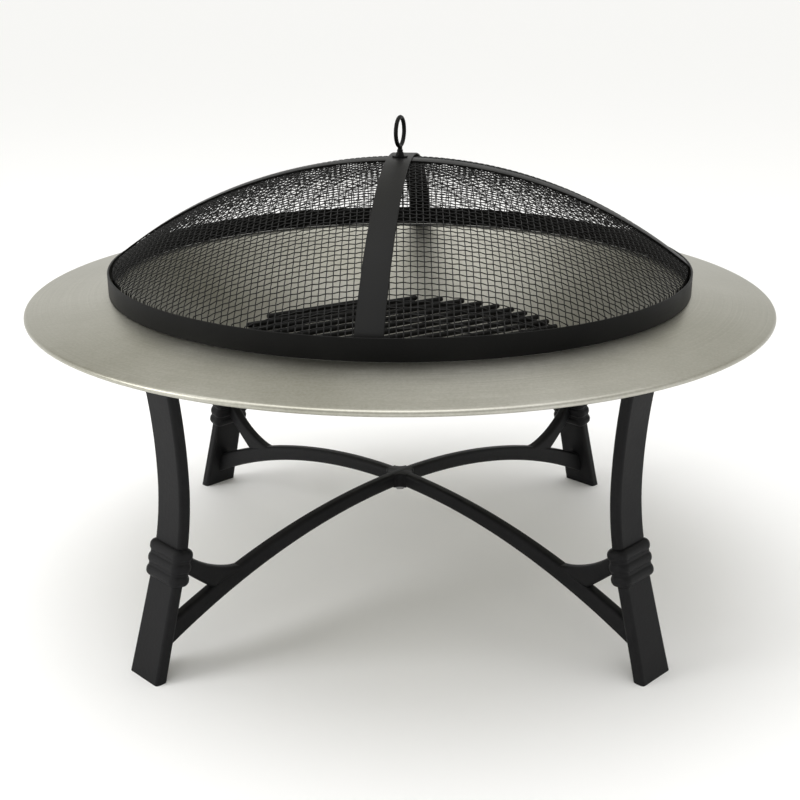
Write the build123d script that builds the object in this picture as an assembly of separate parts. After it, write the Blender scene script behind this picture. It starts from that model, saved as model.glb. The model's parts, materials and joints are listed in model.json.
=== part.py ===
from build123d import *

import os
from math import acos, asin, cos, degrees, radians, sin, sqrt, tan

# Round garden fire pit, in millimetres: a stand of two crossed arches on four
# splayed legs, a steel bowl with a wide sloping rim that hangs on the leg tops,
# a round grate lying in the bowl and a domed spark screen standing on the rim.
# The origin is on the ground under the centre, +Z is up and the front is -Y.

# ---- driving dimensions: bowl ----
RIM_RADIUS = 380.0
SHEET = 1.2
BEAD_RADIUS = 2.8
RIM_SLOPE = 9.0
SHOULDER_RADIUS = 14.0
SHOULDER_REACH = 298.0
SHOULDER_HEIGHT = 330.0
WALL_SLOPE = 42.0

# ---- driving dimensions: stand ----
LEG_THICKNESS = 12.0
FOOT_REACH = 345.0
SPLAY = 16.5
KNEE_HEIGHT = 100.0
WAIST_HEIGHT = 190.0
FLARE_RADIUS = 600.0
FOOT_WIDTH = 45.0
WAIST_WIDTH = 38.0
HEAD_WIDTH = 41.0
LEG_EDGE = 3.5
FOOT_TRIM = 6.0
LEG_LIMIT_REACH = 500.0
LEG_LIMIT_DEPTH = 300.0
ARCH_CROWN = 113.5
ARCH_RADIUS = 780.0
UNDER_RADIUS = 710.0
ARCH_DEPTH = 15.5
ARCH_THICKNESS = 12.5
ARCH_EDGE = 3.5
HUB_FILLET = 9.0
HUB_ARM = 40.0
FORK_START = 227.0
FORK_SAG_REACH = 262.0
FORK_SAG_HEIGHT = 91.0
FORK_TIP_HEIGHT = 125.0
FORK_ROOT_HEIGHT = 105.0
FORK_CROTCH_REACH = 262.0
FORK_GAP_HEIGHT = 85.0
ARCH_BITE = 1.0
ARCH_REACH = 345.0
LEG_INSIDE_TOP = 150.0
LAP_GAP = 0.1
COIL_PITCH = 13.0
COIL_PROUD = 5.0
COIL_CORNER = 8.0
COIL_LAND = 0.5
COIL_COUNT = 3
COIL_MIDDLE = 109.0
COIL_SLACK = 1.0
COIL_CORE_INSET = 3.0
BOLT_RADIUS = 3.0
BOLT_HEX = 10.0
BOLT_HEAD = 4.0
BOLT_END_COVER = 3.0
BOLT_HOLE_COVER = 2.0
LAP_HOLE_LENGTH = 20.0
WASHER_SHEET = 1.4

# ---- driving dimensions: grate ----
GRATE_RADIUS = 172.0
GRATE_WIRE = 4.0
ROD_RADIUS = 3.0
ROD_PITCH = 21.0
ROD_OVERHANG = 8.0
ROD_COUNT = 16
ROD_ANGLE = 33.0
WELD_SINK = 0.5

# ---- driving dimensions: spark screen ----
BAND_RADIUS = 297.5
BAND_SHEET = 2.0
BAND_HEIGHT = 20.5
DOME_HEIGHT = 452.0
MESH_SHEET = 1.0
STRAP_WIDTH = 25.0
STRAP_SHEET = 1.6
SCREEN_TURN = -5.0
EYE_RADIUS = 16.3
EYE_WIRE = 2.1
EYE_MIDDLE = 480.6
EYE_TURN = 73.0
EYE_SHANK = 2.5
EYE_WASHER = 8.0
NECK_RADIUS = 4.8
NECK_LAND = 1.0
NECK_HOLLOW = 0.6
NECK_WAIST = 1.9
SHANK_PROUD = 2.0
SHANK_BITE = 0.5
NUT_HEX = 8.0
NUT_HEIGHT = 4.0
SKIRT_LIFT = 3.0
SPRING_DROP = 1.0
CROWN_HOLE_LENGTH = 40.0

# ---- tolerances for picking edges ----
HAIR = 0.01
END_EDGE = 40.0
END_ZONE = 14.0

# ---- fits ----
REST_GAP = 0.3
FIT_GAP = 0.15
SHEET_GAP = 0.1
PANEL_TURNS = {"rear_right": 0.0, "rear_left": 90.0, "front_left": 180.0, "front_right": 270.0}
LEG_ANGLES = {"rear_right": 45.0, "rear_left": 135.0, "front_left": 225.0, "front_right": 315.0}

PARTS = {}


def turned(shape, degrees_about_z):
    return Rot(0, 0, degrees_about_z) * shape


def revolved(outline):
    """Full turn about Z of a closed outline drawn in the XZ plane."""
    return revolve(make_face(outline), Axis.Z)


def arc_point(centre, radius, angle):
    """Point at an angle in degrees from +X towards +Z round a centre in the XZ plane."""
    return (centre[0] + radius * cos(radians(angle)), 0, centre[1] + radius * sin(radians(angle)))


def arc(centre, radius, start, end):
    """Circular edge in the XZ plane between two angles in degrees."""
    middle = (start + end) / 2
    return ThreePointArc(
        arc_point(centre, radius, start),
        arc_point(centre, radius, middle),
        arc_point(centre, radius, end),
    )


# ---- shared bowl geometry, on the upper or inner surface of the sheet ----
RIM_NORMAL = 90.0 - RIM_SLOPE
WALL_NORMAL = 90.0 + WALL_SLOPE
SHOULDER_CENTRE = (
    SHOULDER_REACH - SHOULDER_RADIUS * cos(radians(RIM_NORMAL)),
    SHOULDER_HEIGHT - SHOULDER_RADIUS * sin(radians(RIM_NORMAL)),
)
WALL_TOP = arc_point(SHOULDER_CENTRE, SHOULDER_RADIUS, WALL_NORMAL)
BOWL_RADIUS = WALL_TOP[0] / sin(radians(WALL_SLOPE))
BOWL_CENTRE = (0.0, WALL_TOP[2] + BOWL_RADIUS * cos(radians(WALL_SLOPE)))


def rim_height(reach):
    """Height of the rim's upper face at a distance from the axis."""
    return SHOULDER_HEIGHT - (reach - SHOULDER_REACH) * tan(radians(RIM_SLOPE))


def make_bowl():
    bead_reach = RIM_RADIUS - BEAD_RADIUS
    edge_reach = bead_reach + BEAD_RADIUS * cos(radians(RIM_NORMAL))
    bead_height = rim_height(edge_reach) - BEAD_RADIUS * sin(radians(RIM_NORMAL))
    upper_edge = (edge_reach, 0, rim_height(edge_reach))
    lower_edge = arc_point((upper_edge[0], upper_edge[2]), SHEET, RIM_NORMAL + 180)
    outline = [
        arc(BOWL_CENTRE, BOWL_RADIUS, -90, WALL_NORMAL - 180),
        arc(SHOULDER_CENTRE, SHOULDER_RADIUS, WALL_NORMAL, RIM_NORMAL),
        Line(arc_point(SHOULDER_CENTRE, SHOULDER_RADIUS, RIM_NORMAL), upper_edge),
        Line(upper_edge, lower_edge),
        Line(lower_edge, arc_point(SHOULDER_CENTRE, SHOULDER_RADIUS - SHEET, RIM_NORMAL)),
        arc(SHOULDER_CENTRE, SHOULDER_RADIUS - SHEET, RIM_NORMAL, WALL_NORMAL),
        arc(BOWL_CENTRE, BOWL_RADIUS + SHEET, WALL_NORMAL - 180, -90),
        Line(arc_point(BOWL_CENTRE, BOWL_RADIUS + SHEET, -90), arc_point(BOWL_CENTRE, BOWL_RADIUS, -90)),
    ]
    shell = revolved(outline)
    bead = Pos(0, 0, bead_height) * Torus(bead_reach, BEAD_RADIUS)
    PARTS["fire_bowl"] = shell + bead


# ---- shared leg geometry: the outer face of a leg in its own XZ plane ----
FOOT_RUN = KNEE_HEIGHT * tan(radians(SPLAY))
KNEE_REACH = FOOT_REACH - FOOT_RUN
BEND_RADIUS = (WAIST_HEIGHT - KNEE_HEIGHT) / sin(radians(SPLAY))
WAIST_REACH = KNEE_REACH - BEND_RADIUS * (1 - cos(radians(SPLAY)))
BEND_CENTRE = (WAIST_REACH + BEND_RADIUS, WAIST_HEIGHT)
FLARE_CENTRE = (WAIST_REACH + FLARE_RADIUS, WAIST_HEIGHT)
HEAD_TOP = SHOULDER_HEIGHT + LEG_THICKNESS


def leg_side_face():
    """Side view of a leg: a strip between its outer face and a parallel inner face."""
    head_angle = 180 - degrees(asin((HEAD_TOP - WAIST_HEIGHT) / FLARE_RADIUS))
    knee_angle = 180 + SPLAY
    below = FOOT_TRIM * tan(radians(SPLAY))
    outer_foot = (FOOT_REACH + below, 0, -FOOT_TRIM)
    slant = LEG_THICKNESS / cos(radians(SPLAY))
    inner_foot = (outer_foot[0] - slant, 0, -FOOT_TRIM)
    outer_knee = arc_point(BEND_CENTRE, BEND_RADIUS, knee_angle)
    inner_knee = arc_point(BEND_CENTRE, BEND_RADIUS + LEG_THICKNESS, knee_angle)
    outer_head = arc_point(FLARE_CENTRE, FLARE_RADIUS, head_angle)
    inner_head = arc_point(FLARE_CENTRE, FLARE_RADIUS + LEG_THICKNESS, head_angle)
    return make_face([
        Line(outer_foot, outer_knee),
        arc(BEND_CENTRE, BEND_RADIUS, knee_angle, 180),
        arc(FLARE_CENTRE, FLARE_RADIUS, 180, head_angle),
        Line(outer_head, inner_head),
        arc(FLARE_CENTRE, FLARE_RADIUS + LEG_THICKNESS, head_angle, 180),
        arc(BEND_CENTRE, BEND_RADIUS + LEG_THICKNESS, 180, knee_angle),
        Line(inner_knee, inner_foot),
        Line(inner_foot, outer_foot),
    ])


def leg_front_face():
    """Front view of a leg: waisted, wider at the foot and at the head."""
    reach = LEG_LIMIT_REACH
    foot = FOOT_WIDTH / 2
    waist = WAIST_WIDTH / 2
    head = HEAD_WIDTH / 2
    right = ThreePointArc((reach, foot, 0), (reach, waist, WAIST_HEIGHT), (reach, head, HEAD_TOP))
    left = ThreePointArc((reach, -head, HEAD_TOP), (reach, -waist, WAIST_HEIGHT), (reach, -foot, 0))
    return make_face([
        right,
        Line((reach, head, HEAD_TOP), (reach, -head, HEAD_TOP)),
        left,
        Line((reach, -foot, 0), (reach, foot, 0)),
    ])


def space_over_rim():
    """Everything above the underside of the sloping rim, less the gap it rests with."""
    near = 250.0
    far = 400.0
    high = 420.0
    drop = SHEET / cos(radians(RIM_SLOPE)) + REST_GAP
    return revolved([
        Line((near, 0, rim_height(near) - drop), (far, 0, rim_height(far) - drop)),
        Line((far, 0, rim_height(far) - drop), (far, 0, high)),
        Line((far, 0, high), (near, 0, high)),
        Line((near, 0, high), (near, 0, rim_height(near) - drop)),
    ])


def make_leg():
    """One leg in the XZ plane, rounded along its four long edges."""
    strip = extrude(leg_side_face(), FOOT_WIDTH, dir=(0, 1, 0), both=True)
    front = extrude(leg_front_face(), -LEG_LIMIT_DEPTH, dir=(1, 0, 0))
    leg = strip & front
    shortest = 0.3 * (WAIST_HEIGHT - KNEE_HEIGHT)
    long_edges = [edge for edge in leg.edges() if edge.bounding_box().size.Z > shortest]
    leg = fillet(long_edges, LEG_EDGE)
    return leg - space_over_rim()


def inner_face_reach(height):
    """Distance of a leg's inner face from the axis, on its straight lower part or its bend."""
    if height <= KNEE_HEIGHT:
        return FOOT_REACH - height * tan(radians(SPLAY)) - LEG_THICKNESS / cos(radians(SPLAY))
    rise = WAIST_HEIGHT - height
    return BEND_CENTRE[0] - sqrt((BEND_RADIUS + LEG_THICKNESS) ** 2 - rise ** 2)


# ---- shared arch geometry ----
ARCH_CENTRE = (0.0, ARCH_CROWN - ARCH_RADIUS)
UNDER_CENTRE = (0.0, ARCH_CROWN - ARCH_DEPTH - UNDER_RADIUS)
LAP_HEIGHT = ARCH_CROWN - ARCH_DEPTH / 2


def arch_height(reach):
    """Height of the top of an arch at a distance from the axis."""
    return ARCH_CENTRE[1] + sqrt(ARCH_RADIUS ** 2 - reach ** 2)


def fork_face():
    """Side view of the upper fork, which leaves the arch and climbs to the leg."""
    tip_reach = inner_face_reach(FORK_TIP_HEIGHT) + ARCH_BITE
    root_reach = inner_face_reach(FORK_ROOT_HEIGHT) + ARCH_BITE
    start_point = (FORK_START, 0, arch_height(FORK_START) - ARCH_BITE)
    tip = (tip_reach, 0, FORK_TIP_HEIGHT)
    root = (root_reach, 0, FORK_ROOT_HEIGHT)
    heel = (FORK_CROTCH_REACH, 0, arch_height(FORK_CROTCH_REACH) - ARCH_BITE)
    back = (FORK_START, 0, arch_height(FORK_START) - ARCH_DEPTH / 2)
    gap_middle = ((root_reach + FORK_CROTCH_REACH) / 2, 0, FORK_GAP_HEIGHT)
    return make_face([
        ThreePointArc(start_point, (FORK_SAG_REACH, 0, FORK_SAG_HEIGHT), tip),
        Line(tip, root),
        ThreePointArc(root, gap_middle, heel),
        Line(heel, back),
        Line(back, start_point),
    ])


def leg_inside_space():
    """Solid space inward of the inner face of a leg, in the leg's own XZ plane."""
    low = 0.0
    knee_angle = 180 + SPLAY
    top_angle = 180 + degrees(asin((WAIST_HEIGHT - LEG_INSIDE_TOP) / (BEND_RADIUS + LEG_THICKNESS)))
    inner_foot = (inner_face_reach(low), 0, low)
    inner_knee = arc_point(BEND_CENTRE, BEND_RADIUS + LEG_THICKNESS, knee_angle)
    inner_top = arc_point(BEND_CENTRE, BEND_RADIUS + LEG_THICKNESS, top_angle)
    face = make_face([
        Line((0, 0, low), inner_foot),
        Line(inner_foot, inner_knee),
        arc(BEND_CENTRE, BEND_RADIUS + LEG_THICKNESS, knee_angle, top_angle),
        Line(inner_top, (0, 0, LEG_INSIDE_TOP)),
        Line((0, 0, LEG_INSIDE_TOP), (0, 0, low)),
    ])
    return extrude(face, 100, dir=(0, 1, 0), both=True)


def half_arch_side():
    """Side view of half an arch, which deepens towards the leg, with its fork and triangular gap."""
    top_angle = degrees(acos(ARCH_REACH / ARCH_RADIUS))
    under_angle = degrees(acos(ARCH_REACH / UNDER_RADIUS))
    top_end = arc_point(ARCH_CENTRE, ARCH_RADIUS, top_angle)
    under_end = arc_point(UNDER_CENTRE, UNDER_RADIUS, under_angle)
    bar = make_face([
        arc(ARCH_CENTRE, ARCH_RADIUS, 90, top_angle),
        Line(top_end, under_end),
        arc(UNDER_CENTRE, UNDER_RADIUS, under_angle, 90),
        Line((0, 0, ARCH_CROWN - ARCH_DEPTH), (0, 0, ARCH_CROWN)),
    ])
    return bar + fork_face()


def hub_plan():
    """Plan of the crossing: two bars with rounded crotches between them."""
    cross = Rectangle(2 * HUB_ARM, ARCH_THICKNESS) + Rectangle(ARCH_THICKNESS, 2 * HUB_ARM)
    half = ARCH_THICKNESS / 2
    crotches = [v for v in cross.vertices() if abs(abs(v.X) - half) < HAIR and abs(abs(v.Y) - half) < HAIR]
    return fillet(crotches, HUB_FILLET)


def make_arch(upper):
    """One arch along X. The upper and lower arch are lapped at half depth at the crossing."""
    side = extrude(half_arch_side(), ARCH_THICKNESS / 2, dir=(0, 1, 0), both=True)
    half = side & leg_inside_space()
    edges = [edge for edge in half.edges() if is_side_edge(edge)]
    half = fillet(edges, ARCH_EDGE)
    bar = half + turned(half, 180)
    reach = ARCH_THICKNESS / 2 + HUB_FILLET
    low = ARCH_CROWN - ARCH_DEPTH
    if upper:
        keep_low = LAP_HEIGHT + LAP_GAP / 2
        keep_high = ARCH_CROWN
    else:
        keep_low = low
        keep_high = LAP_HEIGHT - LAP_GAP / 2
    hub = hub_plan() & Rectangle(2 * reach, 2 * reach)
    crossing = Pos(0, 0, keep_low) * extrude(hub, keep_high - keep_low)
    cut = Pos(0, 0, (low + ARCH_CROWN) / 2) * Box(2 * reach, 2 * reach, 2 * ARCH_DEPTH)
    return (bar - cut) + crossing


def is_side_edge(edge):
    """True for the long edges that lie in the two flat sides of a bar."""
    box = edge.bounding_box()
    flat = box.size.Y < HAIR and abs(abs(box.center().Y) - ARCH_THICKNESS / 2) < HAIR
    at_crossing = box.max.X < 1
    at_leg = box.size.X < END_EDGE and box.min.X > inner_face_reach(box.max.Z) - END_ZONE
    return flat and not (at_crossing or at_leg)


def make_stand():
    leg = make_leg()
    for place, angle in LEG_ANGLES.items():
        PARTS["leg_" + place] = turned(leg, angle)
    upper = make_arch(True)
    lower = make_arch(False)
    hole_depth = ARCH_DEPTH / 2 - BOLT_HOLE_COVER
    lower_hole = Pos(0, 0, LAP_HEIGHT - LAP_HOLE_LENGTH / 2) * Cylinder(BOLT_RADIUS + FIT_GAP, LAP_HOLE_LENGTH)
    upper_hole = Pos(0, 0, LAP_HEIGHT) * Cylinder(
        BOLT_RADIUS, hole_depth, align=(Align.CENTER, Align.CENTER, Align.MIN)
    )
    PARTS["upper_arch"] = turned(upper - upper_hole, LEG_ANGLES["rear_right"])
    PARTS["lower_arch"] = turned(lower - lower_hole, LEG_ANGLES["rear_left"])


def make_collar(place, angle):
    """Three rounded bands stacked along a leg where the fork meets it."""
    rise = WAIST_HEIGHT - COIL_MIDDLE
    tilt = degrees(asin(rise / (BEND_RADIUS + LEG_THICKNESS / 2)))
    middle_reach = BEND_CENTRE[0] - sqrt((BEND_RADIUS + LEG_THICKNESS / 2) ** 2 - rise ** 2)
    deep = LEG_THICKNESS + 2 * COIL_PROUD
    wide = WAIST_WIDTH + 2 * COIL_PROUD + COIL_SLACK
    band = extrude(RectangleRounded(deep, wide, COIL_CORNER), COIL_PITCH / 2, both=True)
    caps = band.faces().filter_by(Axis.Z).edges()
    band = fillet(caps, COIL_PITCH / 2 - COIL_LAND)
    core_corner = COIL_CORNER - COIL_CORE_INSET / 2
    core_plan = RectangleRounded(deep - COIL_CORE_INSET, wide - COIL_CORE_INSET, core_corner)
    collar = extrude(core_plan, COIL_PITCH, both=True)
    for step in range(COIL_COUNT):
        offset = (step - (COIL_COUNT - 1) / 2) * (COIL_PITCH - 2 * COIL_LAND)
        collar = collar + Pos(0, 0, offset) * band
    collar = Pos(middle_reach, 0, COIL_MIDDLE) * Rot(0, -tilt, 0) * collar
    collar = turned(collar, angle)
    on_upper_arch = angle in (LEG_ANGLES["rear_right"], LEG_ANGLES["front_left"])
    arch = "upper_arch" if on_upper_arch else "lower_arch"
    PARTS["collar_" + place] = collar - PARTS["leg_" + place] - PARTS[arch]


def make_centre_bolt():
    """Hexagon bolt from below, through the lower arch and into the upper one."""
    underside = ARCH_CROWN - ARCH_DEPTH
    washer_top = underside - FIT_GAP / 3
    washer_low = washer_top - WASHER_SHEET
    shank_top = LAP_HEIGHT + ARCH_DEPTH / 2 - BOLT_END_COVER
    grow = (Align.CENTER, Align.CENTER, Align.MIN)
    ring = Cylinder(2 * BOLT_RADIUS, WASHER_SHEET, align=grow)
    ring = ring - Cylinder(BOLT_RADIUS + 2 * FIT_GAP, WASHER_SHEET, align=grow)
    PARTS["centre_washer"] = Pos(0, 0, washer_low) * ring
    head = extrude(RegularPolygon(BOLT_HEX / 2, 6, major_radius=False), BOLT_HEAD)
    shank = Cylinder(BOLT_RADIUS - FIT_GAP / 3, shank_top - washer_low + BOLT_HEAD, align=grow)
    PARTS["centre_bolt"] = Pos(0, 0, washer_low - BOLT_HEAD) * (head + shank)


def make_grate():
    """A round-bar ring lying in the bowl, with parallel rods across its top."""
    seat_radius = BOWL_RADIUS - GRATE_WIRE - REST_GAP
    ring_height = BOWL_CENTRE[1] - sqrt(seat_radius ** 2 - GRATE_RADIUS ** 2)
    ring = Pos(0, 0, ring_height) * Torus(GRATE_RADIUS, GRATE_WIRE)
    PARTS["grate_ring"] = ring
    saddle = Pos(0, 0, ring_height) * Torus(GRATE_RADIUS, GRATE_WIRE + WELD_SINK / 20)
    rod_height = ring_height + GRATE_WIRE + ROD_RADIUS - WELD_SINK
    for index in range(ROD_COUNT):
        offset = (index - (ROD_COUNT - 1) / 2) * ROD_PITCH
        length = 2 * (sqrt(GRATE_RADIUS ** 2 - offset ** 2) + ROD_OVERHANG)
        rod = Rot(0, 90, 0) * Cylinder(ROD_RADIUS, length)
        rod = fillet(rod.edges().filter_by(GeomType.CIRCLE), ROD_RADIUS / 4)
        rod = turned(Pos(0, offset, rod_height) * rod, ROD_ANGLE)
        PARTS["grate_rod_%02d" % (index + 1)] = rod - saddle


def cap_radius(reach, rise):
    """Radius of a spherical cap from its half width and its rise."""
    return (reach ** 2 + rise ** 2) / (2 * rise)


def skirted_dome(reach, spring, crown, sheet, skirt_low):
    """A spherical cap on a short upright skirt, as a sheet lying outside the given inner surface."""
    radius = cap_radius(reach, crown - spring)
    centre = (0.0, crown - radius)
    inner_angle = degrees(acos(reach / radius))
    outer = radius + sheet
    outer_angle = degrees(acos((reach + sheet) / outer))
    outer_spring = arc_point(centre, outer, outer_angle)
    return revolved([
        Line((reach, 0, skirt_low), (reach, 0, spring)),
        arc(centre, radius, inner_angle, 90),
        Line((0, 0, crown), (0, 0, crown + sheet)),
        arc(centre, outer, 90, outer_angle),
        Line(outer_spring, (reach + sheet, 0, skirt_low)),
        Line((reach + sheet, 0, skirt_low), (reach, 0, skirt_low)),
    ])


def make_screen():
    """Flat hoop, two crossed straps over a mesh dome seamed under them, and a lifting eye on top."""
    band_low = SHOULDER_CENTRE[1] + SHOULDER_RADIUS + REST_GAP
    band_top = band_low + BAND_HEIGHT
    grow = (Align.CENTER, Align.CENTER, Align.MIN)
    band = Cylinder(BAND_RADIUS, BAND_HEIGHT, align=grow)
    band = band - Cylinder(BAND_RADIUS - BAND_SHEET, BAND_HEIGHT, align=grow)
    band = fillet(band.edges().filter_by(GeomType.CIRCLE), BAND_SHEET / 4)
    PARTS["screen_band"] = Pos(0, 0, band_low) * band
    strap_reach = BAND_RADIUS - BAND_SHEET - SHEET_GAP - STRAP_SHEET
    mesh_reach = strap_reach - SHEET_GAP - MESH_SHEET
    spring = band_top - SPRING_DROP
    skirt_low = band_low + SKIRT_LIFT
    hole = Pos(0, 0, DOME_HEIGHT) * Cylinder(EYE_SHANK + FIT_GAP, CROWN_HOLE_LENGTH)
    mesh = skirted_dome(mesh_reach, spring, DOME_HEIGHT - MESH_SHEET, MESH_SHEET, skirt_low) - hole
    quarter = Pos(SHEET_GAP / 2, SHEET_GAP / 2, 0) * Box(
        BAND_RADIUS, BAND_RADIUS, 2 * DOME_HEIGHT, align=(Align.MIN, Align.MIN, Align.CENTER)
    )
    for place, angle in PANEL_TURNS.items():
        PARTS["mesh_panel_" + place] = turned(turned(mesh, -angle) & quarter, SCREEN_TURN + angle)
    mesh_radius = cap_radius(mesh_reach, DOME_HEIGHT - MESH_SHEET - spring)
    dome_centre = DOME_HEIGHT - MESH_SHEET - mesh_radius
    strap_radius = mesh_radius + MESH_SHEET + SHEET_GAP
    strap_spring = dome_centre + sqrt(strap_radius ** 2 - strap_reach ** 2)
    lower_crown = DOME_HEIGHT + SHEET_GAP
    upper_crown = lower_crown + STRAP_SHEET + SHEET_GAP
    strip = Box(3 * BAND_RADIUS, STRAP_WIDTH, 3 * DOME_HEIGHT)
    lower = skirted_dome(strap_reach, strap_spring, lower_crown, STRAP_SHEET, skirt_low) & strip
    upper = skirted_dome(strap_reach, strap_spring, upper_crown, STRAP_SHEET, skirt_low) & strip
    PARTS["strap_left_to_right"] = turned(lower, SCREEN_TURN) - hole
    PARTS["strap_front_to_back"] = turned(upper, SCREEN_TURN + 90) - hole
    make_eye(upper_crown + STRAP_SHEET, hole)


def make_eye(seat, hole):
    """Round wire eye on a flared neck, clamped through the crown by two washers and a nut."""
    grow = (Align.CENTER, Align.CENTER, Align.MIN)
    washer = Cylinder(EYE_WASHER, WASHER_SHEET, align=grow)
    outer_low = seat + SHEET_GAP
    neck_low = outer_low + WASHER_SHEET + SHEET_GAP
    inner_low = DOME_HEIGHT - MESH_SHEET - SHEET_GAP - WASHER_SHEET
    nut_low = inner_low - SHEET_GAP - NUT_HEIGHT
    shank_low = nut_low - SHANK_PROUD
    neck_top = EYE_MIDDLE - EYE_RADIUS + EYE_WIRE
    loop = Pos(0, 0, EYE_MIDDLE) * Rot(90, 0, 0) * Torus(EYE_RADIUS - EYE_WIRE, EYE_WIRE)
    land = neck_low + NECK_LAND
    hollow = ((NECK_RADIUS + EYE_WIRE) / 2 - NECK_HOLLOW, 0, (land + neck_top) / 2 - NECK_HOLLOW)
    neck = revolved([
        Line((0, 0, neck_low), (NECK_RADIUS, 0, neck_low)),
        Line((NECK_RADIUS, 0, neck_low), (NECK_RADIUS, 0, land)),
        ThreePointArc((NECK_RADIUS, 0, land), hollow, (NECK_WAIST, 0, neck_top)),
        Line((NECK_WAIST, 0, neck_top), (0, 0, neck_top)),
        Line((0, 0, neck_top), (0, 0, neck_low)),
    ])
    shank = Pos(0, 0, shank_low) * Cylinder(EYE_SHANK, neck_low - shank_low + SHANK_BITE, align=grow)
    PARTS["lifting_eye"] = turned(loop + neck + shank, EYE_TURN)
    PARTS["eye_washer_outer"] = Pos(0, 0, outer_low) * washer - hole
    PARTS["eye_washer_inner"] = Pos(0, 0, inner_low) * washer - hole
    nut = extrude(RegularPolygon(NUT_HEX / 2, 6, major_radius=False), NUT_HEIGHT)
    nut = nut - Cylinder(EYE_SHANK + SHEET_GAP / 2, 4 * NUT_HEIGHT)
    PARTS["eye_nut"] = Pos(0, 0, nut_low) * nut


def main():
    make_bowl()
    make_stand()
    for place, angle in LEG_ANGLES.items():
        make_collar(place, angle)
    make_centre_bolt()
    make_grate()
    make_screen()
    os.makedirs("parts", exist_ok=True)
    for name, shape in PARTS.items():
        export_step(shape, "parts/" + name + ".step")


main()
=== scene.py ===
import json
import math

import bpy
import numpy as np
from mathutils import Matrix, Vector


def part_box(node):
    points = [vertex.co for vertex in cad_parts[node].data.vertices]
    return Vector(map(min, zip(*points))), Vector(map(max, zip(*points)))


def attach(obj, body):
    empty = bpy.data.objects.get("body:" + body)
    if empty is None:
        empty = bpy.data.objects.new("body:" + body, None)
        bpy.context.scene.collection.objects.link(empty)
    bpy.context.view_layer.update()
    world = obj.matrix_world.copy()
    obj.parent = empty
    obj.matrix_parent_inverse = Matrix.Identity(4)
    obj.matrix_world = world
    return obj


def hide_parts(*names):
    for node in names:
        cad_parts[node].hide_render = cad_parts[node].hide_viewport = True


# A garden fire pit: satin spun bowl, black crossed-arch stand, round-bar grate
# and a domed spark screen of woven wire. Lengths are in metres, the origin is
# on the ground under the centre, +Z is up and the front is -Y.

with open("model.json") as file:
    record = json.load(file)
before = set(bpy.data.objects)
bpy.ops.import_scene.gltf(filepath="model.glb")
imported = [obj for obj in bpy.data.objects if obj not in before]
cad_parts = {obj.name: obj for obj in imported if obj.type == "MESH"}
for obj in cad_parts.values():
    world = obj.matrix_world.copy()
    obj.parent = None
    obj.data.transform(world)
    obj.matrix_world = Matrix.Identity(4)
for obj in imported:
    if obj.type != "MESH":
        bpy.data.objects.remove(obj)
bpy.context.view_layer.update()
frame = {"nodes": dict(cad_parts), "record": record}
MM = 0.001
TURN = 2 * math.pi


# ------------------------------------------------------------ sizes from the frame

def corner(node):
    """Lowest and highest corner of a CAD node as two numpy arrays."""
    low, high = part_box(node)
    return np.array(low), np.array(high)


BAND_LOW, BAND_HIGH = corner("screen_band")
RING_LOW, RING_HIGH = corner("grate_ring")
DOME_CROWN = float(corner("mesh_panel_front_left")[1][2])
RIM_REACH = float(corner("fire_bowl")[1][0])


# ------------------------------------------------------------ mesh helpers

def add_object(name, skin, body, material):
    """Makes a smooth mesh object from a loft_mesh skin, with a UV map, and hangs it on its body."""
    verts, quads, caps, quad_uv, cap_uv = skin
    faces = quads.tolist() + caps.tolist()
    loop_uv = np.concatenate([quad_uv.reshape(-1, 2), cap_uv.reshape(-1, 2)])
    mesh = bpy.data.meshes.new(name)
    mesh.from_pydata(verts.tolist(), [], faces)
    layer = mesh.uv_layers.new(name="surface")
    layer.data.foreach_set("uv", np.asarray(loop_uv, np.float32).ravel())
    mesh.polygons.foreach_set("use_smooth", np.ones(len(faces), bool))
    mesh.materials.append(material)
    mesh.validate()
    piece = bpy.data.objects.new(name, mesh)
    bpy.context.scene.collection.objects.link(piece)
    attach(piece, body)
    return piece


def signed_volume(verts, quads, caps):
    """Volume by the divergence theorem, a sum of a . (b x c) / 6 over all triangles with
    corners a, b and c: positive when faces look outwards."""
    tri = np.concatenate([quads[:, [0, 1, 2]], quads[:, [0, 2, 3]], caps])
    a, b, c = verts[tri[:, 0]], verts[tri[:, 1]], verts[tri[:, 2]]
    return float(np.einsum("ij,ij->i", a, np.cross(b, c)).sum() / 6)


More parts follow.
